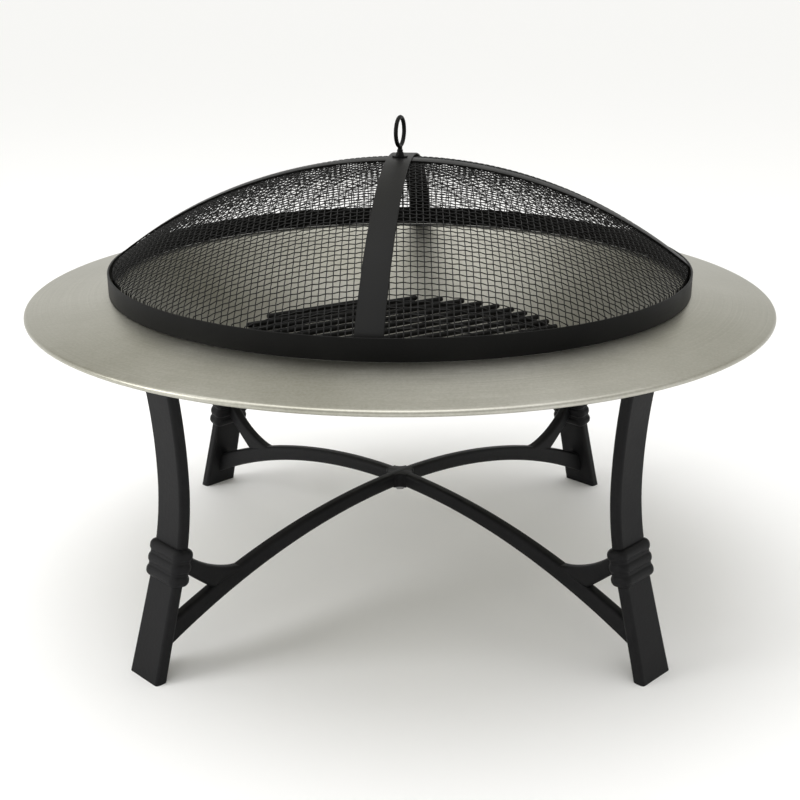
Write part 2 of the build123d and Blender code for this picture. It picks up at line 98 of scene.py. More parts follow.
def loft_mesh(rows, closed=False):
    """Skins a stack of closed sections. rows is (n, m, 3): n sections of m points each.
    A closed stack joins its last section to its first; an open one gets a fan of
    triangles to the middle of each end section. u runs along the stack and v round it.
    Gives points, four-sided faces, three-sided faces, and the UV of each kind's corners."""
    n, m = rows.shape[:2]
    verts = rows.reshape(-1, 3)
    along = np.linalg.norm(np.diff(np.concatenate([rows, rows[:1]]), axis=0), axis=2).mean(1)
    u = np.concatenate([[0], np.cumsum(along)])
    around = np.linalg.norm(np.diff(np.concatenate([rows, rows[:, :1]], 1), axis=1), axis=2).mean(0)
    v = np.concatenate([[0], np.cumsum(around)])
    last = n if closed else n - 1
    i, j = np.meshgrid(np.arange(last), np.arange(m), indexing="ij")
    i, j = i.ravel(), j.ravel()
    i2, j2 = (i + 1) % n, (j + 1) % m
    quads = np.stack([i * m + j, i2 * m + j, i2 * m + j2, i * m + j2], 1)
    quad_uv = np.stack([np.stack([u[i], v[j]], 1), np.stack([u[i + 1], v[j]], 1),
                        np.stack([u[i + 1], v[j + 1]], 1), np.stack([u[i], v[j + 1]], 1)], 1)
    caps = np.empty((0, 3), int)
    if not closed:
        ends = np.stack([rows[0].mean(0), rows[-1].mean(0)])
        verts = np.concatenate([verts, ends])
        k = np.arange(m)
        k2 = (k + 1) % m
        first = np.stack([np.full(m, n * m), k, k2], 1)
        final = np.stack([np.full(m, n * m + 1), (n - 1) * m + k2, (n - 1) * m + k], 1)
        caps = np.concatenate([first, final])
        near, far = v[:-1], v[1:]
        start, end = np.full(m, u[0]), np.full(m, u[-2])
        first_uv = np.stack([np.stack([start, near], 1), np.stack([start, near], 1),
                             np.stack([start, far], 1)], 1)
        final_uv = np.stack([np.stack([end, near], 1), np.stack([end, far], 1),
                             np.stack([end, near], 1)], 1)
        cap_uv = np.concatenate([first_uv, final_uv])
    else:
        cap_uv = np.empty((0, 3, 2))
    if signed_volume(verts, quads, caps) < 0:
        quads, caps = quads[:, ::-1], caps[:, ::-1]
        quad_uv, cap_uv = quad_uv[:, ::-1], cap_uv[:, ::-1]
    return verts, quads, caps, quad_uv, cap_uv


def joined(parts):
    """Stacks several meshes from loft_mesh into one, with each part's corner numbers raised
    by the number of points before it."""
    bases = np.cumsum([0] + [len(part[0]) for part in parts[:-1]])
    verts = np.concatenate([part[0] for part in parts])
    quads = np.concatenate([part[1] + base for part, base in zip(parts, bases)])
    caps = np.concatenate([part[2] + base for part, base in zip(parts, bases)])
    return verts, quads, caps, *(np.concatenate([part[k] for part in parts]) for k in (3, 4))


def unit(vectors):
    """Each vector divided by its length."""
    return vectors / np.linalg.norm(vectors, axis=-1, keepdims=True)


def tube_rows(path, radius, sides, side_hint, closed=False):
    """Circles of the given radius square to a path. side_hint is a direction, or one
    per point, that is never along the path; it sets where each circle starts."""
    path = np.asarray(path, float)
    if closed:
        tangent = np.roll(path, -1, 0) - np.roll(path, 1, 0)
    else:
        tangent = np.gradient(path, axis=0)
    tangent = unit(tangent)
    hint = np.broadcast_to(np.asarray(side_hint, float), path.shape)
    across = unit(np.cross(tangent, hint))
    up = np.cross(across, tangent)
    angle = np.arange(sides) * TURN / sides
    radius = np.broadcast_to(np.asarray(radius, float), len(path))[:, None, None]
    ring = np.cos(angle)[None, :, None] * across[:, None] + np.sin(angle)[None, :, None] * up[:, None]
    return path[:, None] + radius * ring


def turned_rows(profile, sides):
    """Circles about Z through each (distance, height) point of a profile."""
    angle = np.arange(sides) * TURN / sides
    reach, height = profile[:, 0][:, None], profile[:, 1][:, None]
    return np.stack([reach * np.cos(angle), reach * np.sin(angle), height + 0 * angle], 2)


def arc_points(centre, radius, start, end, count):
    """Points on a circle between two angles in degrees, (count, 2)."""
    angle = np.radians(np.linspace(start, end, count))
    return np.stack([centre[0] + radius * np.cos(angle), centre[1] + radius * np.sin(angle)], 1)


# ------------------------------------------------------------ materials

def new_material(name):
    material = bpy.data.materials.new(name)
    material.use_nodes = True
    tree = material.node_tree
    return material, tree, tree.nodes["Principled BSDF"]


def add_node(tree, kind, **settings):
    node = tree.nodes.new(kind)
    for key, value in settings.items():
        setattr(node, key, value)
    return node


def grain_group():
    """Mottle and grain: a slow colour drift, a roughness drift and a fine relief."""
    tree = bpy.data.node_groups.new("surface_grain", "ShaderNodeTree")
    face = tree.interface
    for name, default in (("Drift Scale", 9.0), ("Grain Scale", 900.0),
                          ("Low Rough", 0.4), ("High Rough", 0.6)):
        face.new_socket(name, in_out="INPUT", socket_type="NodeSocketFloat").default_value = default
    for name, default in (("Dark", (0.02, 0.02, 0.02, 1)), ("Light", (0.04, 0.04, 0.04, 1))):
        face.new_socket(name, in_out="INPUT", socket_type="NodeSocketColor").default_value = default
    face.new_socket("Vector", in_out="INPUT", socket_type="NodeSocketVector")
    face.new_socket("Color", in_out="OUTPUT", socket_type="NodeSocketColor")
    face.new_socket("Roughness", in_out="OUTPUT", socket_type="NodeSocketFloat")
    face.new_socket("Height", in_out="OUTPUT", socket_type="NodeSocketFloat")
    given = add_node(tree, "NodeGroupInput")
    result = add_node(tree, "NodeGroupOutput")
    drift = add_node(tree, "ShaderNodeTexNoise")
    drift.inputs["Detail"].default_value = 4
    grain = add_node(tree, "ShaderNodeTexNoise")
    grain.inputs["Detail"].default_value = 3
    mix = add_node(tree, "ShaderNodeMix", data_type="RGBA")
    rough = add_node(tree, "ShaderNodeMapRange")
    blend = add_node(tree, "ShaderNodeMath", operation="MULTIPLY_ADD")
    blend.inputs[1].default_value = 0.35
    link = tree.links.new
    link(given.outputs["Vector"], drift.inputs["Vector"])
    link(given.outputs["Vector"], grain.inputs["Vector"])
    link(given.outputs["Drift Scale"], drift.inputs["Scale"])
    link(given.outputs["Grain Scale"], grain.inputs["Scale"])
    link(grain.outputs["Fac"], blend.inputs[0])
    link(drift.outputs["Fac"], blend.inputs[2])
    spread = add_node(tree, "ShaderNodeMapRange")
    spread.inputs["From Min"].default_value = 0.4
    spread.inputs["From Max"].default_value = 0.95
    link(blend.outputs[0], spread.inputs["Value"])
    link(spread.outputs["Result"], mix.inputs["Factor"])
    link(given.outputs["Dark"], mix.inputs[6])
    link(given.outputs["Light"], mix.inputs[7])
    link(mix.outputs[2], result.inputs["Color"])
    link(spread.outputs["Result"], rough.inputs["Value"])
    link(given.outputs["Low Rough"], rough.inputs["To Min"])
    link(given.outputs["High Rough"], rough.inputs["To Max"])
    link(rough.outputs["Result"], result.inputs["Roughness"])
    link(grain.outputs["Fac"], result.inputs["Height"])
    return tree


GRAIN = grain_group()


def grain_node(tree, settings, vector):
    node = add_node(tree, "ShaderNodeGroup", node_tree=GRAIN)
    for name, value in settings.items():
        node.inputs[name].default_value = value
    tree.links.new(vector, node.inputs["Vector"])
    return node


PAINT_DRIFT = 14.0
PAINT_RELIEF = 0.3 * MM


def paint_material(name, dark, light, rough, grain_scale, relief, specular):
    """Satin black paint over metal: mottled tone, uneven sheen and a fine pebbled skin."""
    material, tree, shader = new_material(name)
    place = add_node(tree, "ShaderNodeTexCoord")
    settings = {"Drift Scale": PAINT_DRIFT, "Grain Scale": grain_scale,
                "Low Rough": rough[0], "High Rough": rough[1],
                "Dark": (*dark, 1), "Light": (*light, 1)}
    grain = grain_node(tree, settings, place.outputs["Object"])
    bump = add_node(tree, "ShaderNodeBump")
    bump.inputs["Strength"].default_value = relief
    bump.inputs["Distance"].default_value = PAINT_RELIEF
    shader.inputs["Specular IOR Level"].default_value = specular
    tree.links.new(grain.outputs["Color"], shader.inputs["Base Color"])
    tree.links.new(grain.outputs["Roughness"], shader.inputs["Roughness"])
    tree.links.new(grain.outputs["Height"], bump.inputs["Height"])
    tree.links.new(bump.outputs["Normal"], shader.inputs["Normal"])
    return material


def streaks(tree, vector, turn, scale):
    """Noise drawn out into lines: turned about Z by an angle, then squeezed by a scale each way."""
    stretch = add_node(tree, "ShaderNodeMapping")
    stretch.inputs["Rotation"].default_value = (0, 0, turn)
    stretch.inputs["Scale"].default_value = scale
    noise = add_node(tree, "ShaderNodeTexNoise")
    noise.inputs["Scale"].default_value = 1.0
    noise.inputs["Detail"].default_value = 2
    tree.links.new(vector, stretch.inputs["Vector"])
    tree.links.new(stretch.outputs["Vector"], noise.inputs["Vector"])
    return noise.outputs["Fac"]


def spun_steel():
    """Satin stainless steel: fine rings from spinning, soft blotches, and crossed rub marks.
    The rings follow u, which runs from the centre out over the rim; v runs round it. Inside
    the bowl, up to the shoulder, the colour is darkened as painted shade."""
    material, tree, shader = new_material("spun_stainless")
    link = tree.links.new
    place = add_node(tree, "ShaderNodeTexCoord")
    settings = {"Drift Scale": 3.6, "Grain Scale": 420.0, "Low Rough": 0.31, "High Rough": 0.45,
                "Dark": (0.35, 0.34, 0.275, 1), "Light": (0.61, 0.60, 0.55, 1)}
    grain = grain_node(tree, settings, place.outputs["Object"])
    rings = streaks(tree, place.outputs["UV"], 0.0, (1500, 5, 1))
    rub = streaks(tree, place.outputs["Object"], 0.6, (22, 900, 22))
    rub_back = streaks(tree, place.outputs["Object"], -0.75, (22, 900, 22))
    crossed = add_node(tree, "ShaderNodeMath", operation="MAXIMUM")
    link(rub, crossed.inputs[0])
    link(rub_back, crossed.inputs[1])
    height = add_node(tree, "ShaderNodeMath", operation="MULTIPLY_ADD")
    height.inputs[1].default_value = 0.7
    link(crossed.outputs[0], height.inputs[0])
    link(rings, height.inputs[2])
    bump = add_node(tree, "ShaderNodeBump")
    bump.inputs["Strength"].default_value = 0.14
    bump.inputs["Distance"].default_value = 0.15 * MM
    tone = add_node(tree, "ShaderNodeMapRange")
    for name, value in (("From Min", 0.7), ("From Max", 1.25), ("To Min", 0.0), ("To Max", 1.0)):
        tone.inputs[name].default_value = value
    link(height.outputs[0], tone.inputs["Value"])
    shade = add_node(tree, "ShaderNodeMix", data_type="RGBA", blend_type="MULTIPLY")
    shade.inputs["Factor"].default_value = 1.0
    polish = add_node(tree, "ShaderNodeMix", data_type="RGBA")
    polish.inputs[6].default_value = (0.84, 0.84, 0.83, 1)
    polish.inputs[7].default_value = (1.0, 1.0, 1.0, 1)
    link(tone.outputs["Result"], polish.inputs["Factor"])
    # Painted shade: inside the bowl, where u is below 0.300 m, the colour is scaled down to 0.74. It eases
    # back to full at 0.326 m, at the shoulder.
    along = add_node(tree, "ShaderNodeSeparateXYZ")
    inside_painted_shade = add_node(tree, "ShaderNodeMapRange")
    for name, value in (("From Min", 0.300), ("From Max", 0.326), ("To Min", 0.74), ("To Max", 1.0)):
        inside_painted_shade.inputs[name].default_value = value
    painted_shade_colour = add_node(tree, "ShaderNodeVectorMath", operation="SCALE")
    link(place.outputs["UV"], along.inputs[0])
    link(along.outputs["X"], inside_painted_shade.inputs["Value"])
    link(polish.outputs[2], painted_shade_colour.inputs[0])
    link(inside_painted_shade.outputs["Result"], painted_shade_colour.inputs["Scale"])
    link(grain.outputs["Color"], shade.inputs[6])
    link(painted_shade_colour.outputs[0], shade.inputs[7])
    shader.inputs["Metallic"].default_value = 1.0
    link(shade.outputs[2], shader.inputs["Base Color"])
    link(grain.outputs["Roughness"], shader.inputs["Roughness"])
    link(height.outputs[0], bump.inputs["Height"])
    link(bump.outputs["Normal"], shader.inputs["Normal"])
    return material


def zinc_plate():
    """Dulled zinc plate: dark grey, half matt and faintly spangled."""
    material, tree, shader = new_material("zinc_plate")
    place = add_node(tree, "ShaderNodeTexCoord")
    settings = {"Drift Scale": 120.0, "Grain Scale": 2500.0, "Low Rough": 0.45, "High Rough": 0.65,
                "Dark": (0.20, 0.20, 0.195, 1), "Light": (0.32, 0.325, 0.33, 1)}
    grain = grain_node(tree, settings, place.outputs["Object"])
    bump = add_node(tree, "ShaderNodeBump")
    bump.inputs["Strength"].default_value = 0.1
    bump.inputs["Distance"].default_value = 0.1 * MM
    shader.inputs["Metallic"].default_value = 1.0
    tree.links.new(grain.outputs["Color"], shader.inputs["Base Color"])
    tree.links.new(grain.outputs["Roughness"], shader.inputs["Roughness"])
    tree.links.new(grain.outputs["Height"], bump.inputs["Height"])
    tree.links.new(bump.outputs["Normal"], shader.inputs["Normal"])
    return material


STAND_PAINT = paint_material("stand_paint", dark=(0.003, 0.003, 0.0033), light=(0.011, 0.011, 0.012),
                             rough=(0.42, 0.62), grain_scale=300.0, relief=0.45, specular=0.14)
SCREEN_PAINT = paint_material("screen_paint", dark=(0.002, 0.002, 0.002), light=(0.008, 0.008, 0.0075),
                              rough=(0.38, 0.55), grain_scale=700.0, relief=0.25, specular=0.10)
WIRE_PAINT = paint_material("wire_paint", dark=(0.003, 0.003, 0.003), light=(0.01, 0.01, 0.0095),
                            rough=(0.45, 0.6), grain_scale=900.0, relief=0.1, specular=0.25)
GRATE_PAINT = paint_material("grate_paint", dark=(0.003, 0.003, 0.003), light=(0.009, 0.0085, 0.008),
                             rough=(0.5, 0.7), grain_scale=500.0, relief=0.5, specular=0.2)
STEEL = spun_steel()
ZINC = zinc_plate()


# ------------------------------------------------------------ bowl

RIM_SLOPE = 9.0
WALL_SLOPE = 42.0
SHEET = 1.2 * MM
BEAD = 2.8 * MM
SHOULDER = 14 * MM
SHOULDER_END = np.array([298.0, 330.0]) * MM
BEAD_END = -165
BEAD_TUCK = 1.9 * BEAD
POLE_HOLE = 2 * MM
BOWL_SIDES = 288


def bowl_lines():
    """Centre of the shoulder bend, and centre and radius of the bowl's spherical floor."""
    rim_normal = math.radians(90 - RIM_SLOPE)
    shoulder = SHOULDER_END - SHOULDER * np.array([math.cos(rim_normal), math.sin(rim_normal)])
    wall_normal = math.radians(90 + WALL_SLOPE)
    wall_top = shoulder + SHOULDER * np.array([math.cos(wall_normal), math.sin(wall_normal)])
    radius = wall_top[0] / math.sin(math.radians(WALL_SLOPE))
    centre = np.array([0.0, wall_top[1] + radius * math.cos(math.radians(WALL_SLOPE))])
    return shoulder, centre, radius


def make_bowl():
    """The bowl as one turned profile: spherical floor, shoulder bend, sloping rim and a
    rolled bead, then back under itself one sheet thickness below."""
    shoulder, centre, radius = bowl_lines()
    slope = math.radians(RIM_SLOPE)
    normal = np.array([math.sin(slope), math.cos(slope)])
    bead_reach = RIM_REACH - BEAD
    bead_top_reach = bead_reach + BEAD * normal[0]
    top_height = SHOULDER_END[1] - (bead_top_reach - SHOULDER_END[0]) * math.tan(slope)
    bead_centre = np.array([bead_top_reach, top_height]) - BEAD * normal
    floor_start = math.degrees(math.asin(POLE_HOLE / radius)) - 90
    upper_floor = arc_points(centre, radius, floor_start, WALL_SLOPE - 90, 90)
    upper_bend = arc_points(shoulder, SHOULDER, 90 + WALL_SLOPE, 90 - RIM_SLOPE, 14)[1:]
    share = np.linspace(0, 1, 30)[1:-1, None]
    bead_top = np.array([bead_top_reach, top_height])
    upper_rim = SHOULDER_END + share * (bead_top - SHOULDER_END)
    bead = arc_points(bead_centre, BEAD, 90 - RIM_SLOPE, BEAD_END, 22)
    under_bend_end = shoulder + (SHOULDER - SHEET) * normal
    meet = bead_top - SHEET * normal - BEAD_TUCK * np.array([math.cos(slope), -math.sin(slope)])
    lower_rim = meet + np.linspace(0, 1, 28)[:, None] * (under_bend_end - meet)
    lower_bend = arc_points(shoulder, SHOULDER - SHEET, 90 - RIM_SLOPE, 90 + WALL_SLOPE, 14)[1:]
    lower_floor = arc_points(centre, radius + SHEET, WALL_SLOPE - 90, floor_start, 70)[1:]
    profile = np.concatenate([upper_floor, upper_bend, upper_rim, bead, lower_rim, lower_bend, lower_floor])
    rows = turned_rows(profile, BOWL_SIDES)
    piece = add_object("spun_bowl", loft_mesh(rows), "bowl", STEEL)
    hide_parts("fire_bowl")


# ------------------------------------------------------------ stand

FOOT_REACH = 345.0 * MM
LEG_SHEET = 12.0 * MM
SPLAY = math.radians(16.5)
KNEE = 100.0 * MM
WAIST = 190.0 * MM
ARCH_CROWN = 113.5 * MM
ARCH_RADIUS = 780.0 * MM
UNDER_CROWN = 98.0 * MM
UNDER_RADIUS = 710.0 * MM
ARCH_HALF_WIDTH = 6.25 * MM
ARCH_ROUND = 4.2 * MM
FORK_START = 227.0 * MM
FORK_SAG = np.array([262.0, 91.0]) * MM
FORK_TIP = 125.0 * MM
FORK_ROOT = 105.0 * MM
FORK_CROTCH = 262.0 * MM
FORK_GAP = 85.0 * MM
HUB_ROUND = 9.0 * MM
LEG_BITE = 2.5 * MM
TOP_END = 319.0 * MM
UNDER_END = 327.0 * MM
LAP_DIP = 0.3 * MM
LAP_REACH = 14 * MM
FORK_SINK = 1 * MM
FORK_ROOT_SINK = 7 * MM
FORK_INSET = 0.06 * MM


def circle_height(reach, crown, radius):
    """Height on an upright circle whose top is at crown over the axis."""
    return crown - radius + np.sqrt(radius ** 2 - reach ** 2)


def leg_inside(height):
    """Distance of a leg's inner face from the axis: a slanted line, then a bend above the knee."""
    if height <= KNEE:
        return FOOT_REACH - height * math.tan(SPLAY) - LEG_SHEET / math.cos(SPLAY)
    bend = (WAIST - KNEE) / math.sin(SPLAY)
    waist_reach = FOOT_REACH - KNEE * math.tan(SPLAY) - bend * (1 - math.cos(SPLAY))
    return waist_reach + bend - math.sqrt((bend + LEG_SHEET) ** 2 - (WAIST - height) ** 2)


def arc_through(first, middle, last, count):
    """Points on the circle through three points, from the first to the last."""
    (ax, ay), (bx, by), (cx, cy) = first, middle, last
    d = 2 * (ax * (by - cy) + bx * (cy - ay) + cx * (ay - by))
    a2, b2, c2 = ax * ax + ay * ay, bx * bx + by * by, cx * cx + cy * cy
    centre = np.array([(a2 * (by - cy) + b2 * (cy - ay) + c2 * (ay - by)) / d,
                       (a2 * (cx - bx) + b2 * (ax - cx) + c2 * (bx - ax)) / d])
    points = np.array([first, middle, last]) - centre
    angle = np.unwrap(np.arctan2(points[:, 1], points[:, 0]))
    turn = np.linspace(angle[0], angle[2], count)
    radius = np.linalg.norm(points[0])
    return centre + radius * np.stack([np.cos(turn), np.sin(turn)], 1)


def flat_bar(top, under, half_width, rounding):
    """A bar between two lines in the XZ plane, (n, 2) each, whose four long edges are rounded:
    section point = middle + (top - middle) * w / depth, with (y, w) on a rounded rectangle."""
    middle, half = (top + under) / 2, (top - under) / 2
    depth = np.linalg.norm(half, axis=1, keepdims=True)
    rounding = np.minimum(rounding, 0.9 * depth)
    angle = np.radians(np.concatenate([np.linspace(start, start + 90, 7) for start in (0, 90, 180, 270)]))
    across = np.repeat([1.0, -1.0, -1.0, 1.0], 7)
    upright = np.repeat([1.0, 1.0, -1.0, -1.0], 7)
    y = across * (half_width - rounding) + rounding * np.cos(angle)
    w = upright * (depth - rounding) + rounding * np.sin(angle)
    share = w / depth
    x = middle[:, :1] + half[:, :1] * share
    z = middle[:, 1:] + half[:, 1:] * share
    return np.stack([x, y, z], 2)


def turned_about(rows, angle):
    """Turns points about Z."""
    c, s = math.cos(angle), math.sin(angle)
    x, y, z = rows[..., 0], rows[..., 1], rows[..., 2]
    return np.stack([x * c - y * s, x * s + y * c, z], -1)


def fork_rows(side):
    """The branch that leaves the top of an arch and climbs to the leg, on one side of the axis:
    a flat bar whose top is one circle, and whose underside is a line and then a circle."""
    start_height = float(circle_height(FORK_START, ARCH_CROWN, ARCH_RADIUS))
    heel_height = float(circle_height(FORK_CROTCH, ARCH_CROWN, ARCH_RADIUS)) - FORK_SINK
    tip = (leg_inside(FORK_TIP) + LEG_BITE, FORK_TIP)
    root = (leg_inside(FORK_ROOT) + LEG_BITE, FORK_ROOT)
    heel = (FORK_CROTCH, heel_height)
    top = arc_through((FORK_START, start_height - FORK_SINK), FORK_SAG, tip, 56)
    lead = np.linspace((FORK_START, start_height - FORK_ROOT_SINK), heel, 20)
    climb = arc_through(heel, ((root[0] + FORK_CROTCH) / 2, FORK_GAP), root, 37)[1:]
    under = np.concatenate([lead, climb])
    rows = flat_bar(top, under, ARCH_HALF_WIDTH - FORK_INSET, ARCH_ROUND)
    return rows * np.array([side, 1, 1])


def hub_rows():
    """The rounded crossing: a cross in plan whose four inner corners are quarter circles."""
    centre = ARCH_HALF_WIDTH + HUB_ROUND
    angle = np.radians(np.linspace(270, 180, 12))
    corner_line = np.stack([centre + HUB_ROUND * np.cos(angle), centre + HUB_ROUND * np.sin(angle)], 1)
    flat = np.concatenate([corner_line, np.zeros((12, 2))], 1)[:, :3]
    outline = np.concatenate([turned_about(flat, quarter * TURN / 4) for quarter in range(4)])
    level = np.array([0.0, 0.15, 0.5, 1.2, 2.6])
    inset = np.array([0.10, 0.05, 0.022, 0.006, 0.0])
    low, high = UNDER_CROWN + 0.1 * MM, ARCH_CROWN - 0.15 * MM
    height = np.concatenate([low + level * MM, high - level[::-1] * MM])
    scale = 1 - np.concatenate([inset, inset[::-1]])
    rows = outline[None] * scale[:, None, None]
    rows[..., 2] = height[:, None]
    return rows


def make_arch(name, node, angle, dip):
    """One arch with its two forks: top and underside are two circles over the same reach. Both
    close in by dip * exp(-(reach / LAP_REACH)^2) at the middle, where the other arch crosses."""
    share = np.linspace(-1, 1, 181)
    top_reach, under_reach = share * (TOP_END + LEG_BITE), share * (UNDER_END + LEG_BITE)
    fall = dip * np.exp(-(top_reach / LAP_REACH) ** 2)
    top = np.stack([top_reach, circle_height(top_reach, ARCH_CROWN, ARCH_RADIUS) - fall], 1)
    under = np.stack([under_reach, circle_height(under_reach, UNDER_CROWN, UNDER_RADIUS) + fall], 1)
    parts = [flat_bar(top, under, ARCH_HALF_WIDTH, ARCH_ROUND), fork_rows(1), fork_rows(-1)]
    if dip == 0:
        parts.append(hub_rows())
    meshes = [loft_mesh(turned_about(rows, angle)) for rows in parts]
    piece = add_object(name, joined(meshes), "stand", STAND_PAINT)
    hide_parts(node)


# ------------------------------------------------------------ grate

GRATE_WIRE = float(RING_HIGH[2] - RING_LOW[2]) / 2
GRATE_REACH = float(RING_HIGH[0]) - GRATE_WIRE
RING_HEIGHT = float(RING_HIGH[2] + RING_LOW[2]) / 2
GRATE_TURN = math.radians(33)
GRATE_SIDES = 240


def make_grate():
    """A round-bar hoop and round rods with softened ends, each with its weld to the hoop."""
    angle = np.arange(GRATE_SIDES) * TURN / GRATE_SIDES
    path = np.stack([GRATE_REACH * np.cos(angle), GRATE_REACH * np.sin(angle), RING_HEIGHT + 0 * angle], 1)
    rows = tube_rows(path, GRATE_WIRE, 20, (0, 0, 1), closed=True)
    piece = add_object("grate_hoop", loft_mesh(rows, closed=True), "grate", GRATE_PAINT)
    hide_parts("grate_ring")
    names = sorted(name for name in frame["nodes"] if name.startswith("grate_rod_"))
    along = np.array([math.cos(GRATE_TURN), math.sin(GRATE_TURN), 0])
    for name in names:
        low, high = corner(name)
        middle = (low + high) / 2
        radius = (high[2] - low[2]) / 2
        half = (high[0] - low[0] - 2 * radius * along[1]) / (2 * along[0])
        ease = np.array([0.55, 0.85, 1.0])
        inset = np.array([0.0, 0.15, 0.5]) * radius
        reach = np.concatenate([-half + inset, np.linspace(-half, half, 60)[1:-1], half - inset[::-1]])
        size = np.ones(len(reach)) * radius
        size[:3] = radius * ease
        size[-3:] = radius * ease[::-1]
        rows = tube_rows(middle + reach[:, None] * along, size, 16, (0, 0, 1))
        rod = loft_mesh(rows)
        offset = float(middle[:2] @ np.array([-along[1], along[0]]))
        contact = math.sqrt(GRATE_REACH ** 2 - offset ** 2)
        welds = [weld_bead(middle + side * contact * along, radius) for side in (-1, 1)]
        piece = add_object("visual_" + name, joined([rod] + welds), "grate", GRATE_PAINT)
        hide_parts(name)


def weld_bead(place, radius):
    """A low lumpy collar of weld between rod and hoop: a squashed ball whose reach ripples as
    sin(3 * angle + 5 * polar), started at a different point for each place."""
    rows_count, sides, pole = 9, 14, 0.25
    polar = np.linspace(pole, math.pi - pole, rows_count)[:, None]
    angle = (np.arange(sides) * TURN / sides)[None]
    ripple = 1 + 0.12 * np.sin(3 * angle + 5 * polar + 40 * place[0])
    reach = 1.35 * radius * np.sin(polar) * ripple
    height = 0.95 * radius * np.cos(polar) + 0 * angle
    centre = place - np.array([0, 0, 0.75 * radius])
    rows = np.stack([centre[0] + reach * np.cos(angle), centre[1] + reach * np.sin(angle),
                     centre[2] + height], 2)
    return loft_mesh(rows)


# ------------------------------------------------------------ spark screen

BAND_REACH = float(BAND_HIGH[0])
BAND_SHEET = 2.0 * MM
BAND_SIDES = 320
SOFT_EDGE = 0.5 * MM
STRAP_SHEET = 1.6 * MM
STRAP_WIDTH = 25.0 * MM
SHEET_GAP = 0.1 * MM
MESH_SHEET = 1.0 * MM
SCREEN_TURN = math.radians(-5)
SPRING = float(BAND_HIGH[2]) - 1 * MM
MESH_REACH = BAND_REACH - BAND_SHEET - STRAP_SHEET - 2 * SHEET_GAP - MESH_SHEET
DOME_TOP = DOME_CROWN - MESH_SHEET
WIRE_PITCH = 6.0 * MM
WIRE_RADIUS = 0.5 * MM
WEAVE = 0.95
WIRE_TAIL = 5
TAIL_STEP = 2.4 * MM
STEPS_PER_PITCH = 3
WIRE_SIDES = 5
TAB_LIFT = 3 * MM
TAB_GAP = 0.8 * MM
EYE_TURN = math.radians(73)
EYE_WIRE = 2.1 * MM
EYE_REACH = 14.2 * MM
THREAD_PITCH = 0.8 * MM


def cap_radius(reach, rise):
    """Radius of the circle that rises by rise over a half width of reach."""
    return (reach ** 2 + rise ** 2) / (2 * rise)


DOME_RADIUS = cap_radius(MESH_REACH, DOME_TOP - SPRING)
DOME_CENTRE = DOME_TOP - DOME_RADIUS


def make_band():
    """The flat hoop: an upright strip with rounded edges, turned about Z."""
    low, high = float(BAND_LOW[2]), float(BAND_HIGH[2])
    outer, inner = BAND_REACH, BAND_REACH - BAND_SHEET
    soft = SOFT_EDGE
    corners = [((outer - soft, high - soft), 90, 0), ((outer - soft, low + soft), 0, -90),
               ((inner + soft, low + soft), -90, -180), ((inner + soft, high - soft), 180, 90)]
    profile = np.concatenate([arc_points(c, soft, start, end, 5) for c, start, end in corners])
    angle = (np.arange(BAND_SIDES) * TURN / BAND_SIDES)[:, None]
    reach, height = profile[None, :, 0], profile[None, :, 1]
    rows = np.stack([reach * np.cos(angle), reach * np.sin(angle), height + 0 * angle], 2)
    piece = add_object("hoop_band", loft_mesh(rows, closed=True), "screen", SCREEN_PAINT)
    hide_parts("screen_band")


def make_wires(name, lengthwise, keep):
    """Woven wires of one direction. Each wire lies over the dome above a straight line in plan,
    goes down inside the hoop at both ends, and rises and falls by one wire radius about the
    dome from crossing to crossing, opposite to its neighbours and to the wires it crosses."""
    count = int(MESH_REACH / WIRE_PITCH)
    middle = DOME_RADIUS + MESH_SHEET + SHEET_GAP - (1 + WEAVE) * WIRE_RADIUS
    edge = MESH_REACH - (1 + WEAVE / 2) * WIRE_RADIUS
    parts = []
    for index in range(-count, count + 1):
        if index % 2 != keep:
            continue
        fixed = (index + 0.5) * WIRE_PITCH
        if abs(fixed) > edge - 1 * MM:
            continue
        half = math.sqrt(edge ** 2 - fixed ** 2)
        reach = int(half / WIRE_PITCH * STEPS_PER_PITCH)
        run = np.arange(-reach, reach + 1) * WIRE_PITCH / STEPS_PER_PITCH
        run = np.concatenate([[-half], run, [half]])
        level = DOME_CENTRE + np.sqrt(middle ** 2 - fixed ** 2 - run ** 2)
        sign = 1 if lengthwise else -1
        wave = sign * (-1) ** index * WIRE_RADIUS * WEAVE * np.cos(math.pi * (run / WIRE_PITCH + 0.5))
        points = np.stack([run, fixed + 0 * run, level - DOME_CENTRE], 1)
        points = points * (1 + wave / middle)[:, None] + np.array([0, 0, DOME_CENTRE])
        drop = np.arange(1, WIRE_TAIL + 1)[:, None] * TAIL_STEP * np.array([0, 0, -1])
        points = np.concatenate([(points[0] + drop)[::-1], points, points[-1] + drop])
        if not lengthwise:
            points = points[:, [1, 0, 2]]
        hint = (0, 1, 0) if lengthwise else (1, 0, 0)
        parts.append(loft_mesh(tube_rows(points, WIRE_RADIUS, WIRE_SIDES, hint)))
    piece = add_object(name, joined(parts), "screen", WIRE_PAINT)
    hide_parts(*(node for node in frame["nodes"] if node.startswith("mesh_panel_")))


